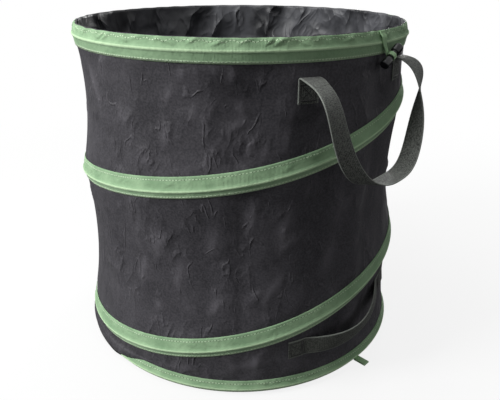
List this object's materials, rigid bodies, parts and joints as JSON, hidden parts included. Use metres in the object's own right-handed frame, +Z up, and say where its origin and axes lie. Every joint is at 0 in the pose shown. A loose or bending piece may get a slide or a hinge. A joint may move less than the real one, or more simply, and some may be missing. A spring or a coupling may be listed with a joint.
{
  "type": "pop up leaf bag",
  "caption": "Round open-top fabric bag held up by a coiled spring in sewn tapes, with webbing handles and toggle loops, that pushes flat.",
  "frame": {"origin": "centre of the underside of the round base panel, on the surface the bag stands on", "axes": "+Z up along the bag's axis, -Y the front of the picture, +X its right, where the toggle hangs"},
  "size_m": [0.481, 0.571, 0.467],
  "materials": {
    "fabric": "dark anthracite woven polyester, coated inside",
    "tape": "sage green woven tape",
    "webbing": "charcoal polypropylene webbing",
    "thread": "black bonded thread, densely stitched",
    "toggle_plastic": "black moulded plastic, satin",
    "spring_steel": "drawn spring steel wire"
  },
  "bodies": {
    "base": {"base_panel": "fabric", "wall_fabric": "fabric", "bottom_hoop": "spring_steel", "bottom_tape": "tape", "spiral_spring": "spring_steel", "spiral_tape": "tape", "lower_handle_near_end": "webbing", "lower_handle_far_end": "webbing", "lower_handle_near_tack": "thread", "lower_handle_far_tack": "thread", "right_catch_loop": "tape", "left_catch_loop": "tape"},
    "rim": {"rim_hoop": "spring_steel", "rim_tape": "tape", "right_handle_near_end": "webbing", "right_handle_far_end": "webbing", "right_handle_near_tack": "thread", "right_handle_far_tack": "thread", "left_handle_near_end": "webbing", "left_handle_far_end": "webbing", "left_handle_near_tack": "thread", "left_handle_far_tack": "thread"},
    "right_handle": {"right_handle_strap": "webbing"},
    "left_handle": {"left_handle_strap": "webbing"},
    "lower_handle": {"lower_handle_strap": "webbing"},
    "right_toggle": {"right_toggle": "toggle_plastic", "right_toggle_loop": "tape"},
    "left_toggle": {"left_toggle": "toggle_plastic", "left_toggle_loop": "tape"}
  },
  "joints": [
    {"name": "collapse", "type": "slide", "parent": "base", "child": "rim", "axis": [0, 0, 1], "range_m": [-0.365, 0], "stiffness_N_per_m": 60, "springref_m": 0.1, "deforming": ["wall_fabric", "spiral_spring", "spiral_tape", "lower_handle_near_end", "lower_handle_far_end", "lower_handle_near_tack", "lower_handle_far_tack", "lower_handle_strap"]},
    {"name": "right_handle_swing", "type": "hinge", "parent": "rim", "child": "right_handle", "pos_m": [0.15188, -0.19439, 0.42123], "axis": [-0.7366, -0.6748, -0.0456], "range_deg": [0, 140]},
    {"name": "left_handle_swing", "type": "hinge", "parent": "rim", "child": "left_handle", "pos_m": [-0.15188, 0.19439, 0.42123], "axis": [0.7366, 0.6748, -0.0456], "range_deg": [0, 140]},
    {"name": "lower_handle_swing", "type": "hinge", "parent": "base", "child": "lower_handle", "pos_m": [0.14643, -0.18245, 0.07896], "axis": [-0.7569, -0.6075, -0.241], "range_deg": [0, 30]},
    {"name": "right_toggle_swing", "type": "hinge", "parent": "rim", "child": "right_toggle", "pos_m": [0.16933, -0.1664, 0.466], "axis": [-0.7009, -0.7133, 0], "range_deg": [0, 140]},
    {"name": "left_toggle_swing", "type": "hinge", "parent": "rim", "child": "left_toggle", "pos_m": [-0.16933, 0.1664, 0.466], "axis": [0.7009, 0.7133, 0], "range_deg": [0, 140]}
  ]
}
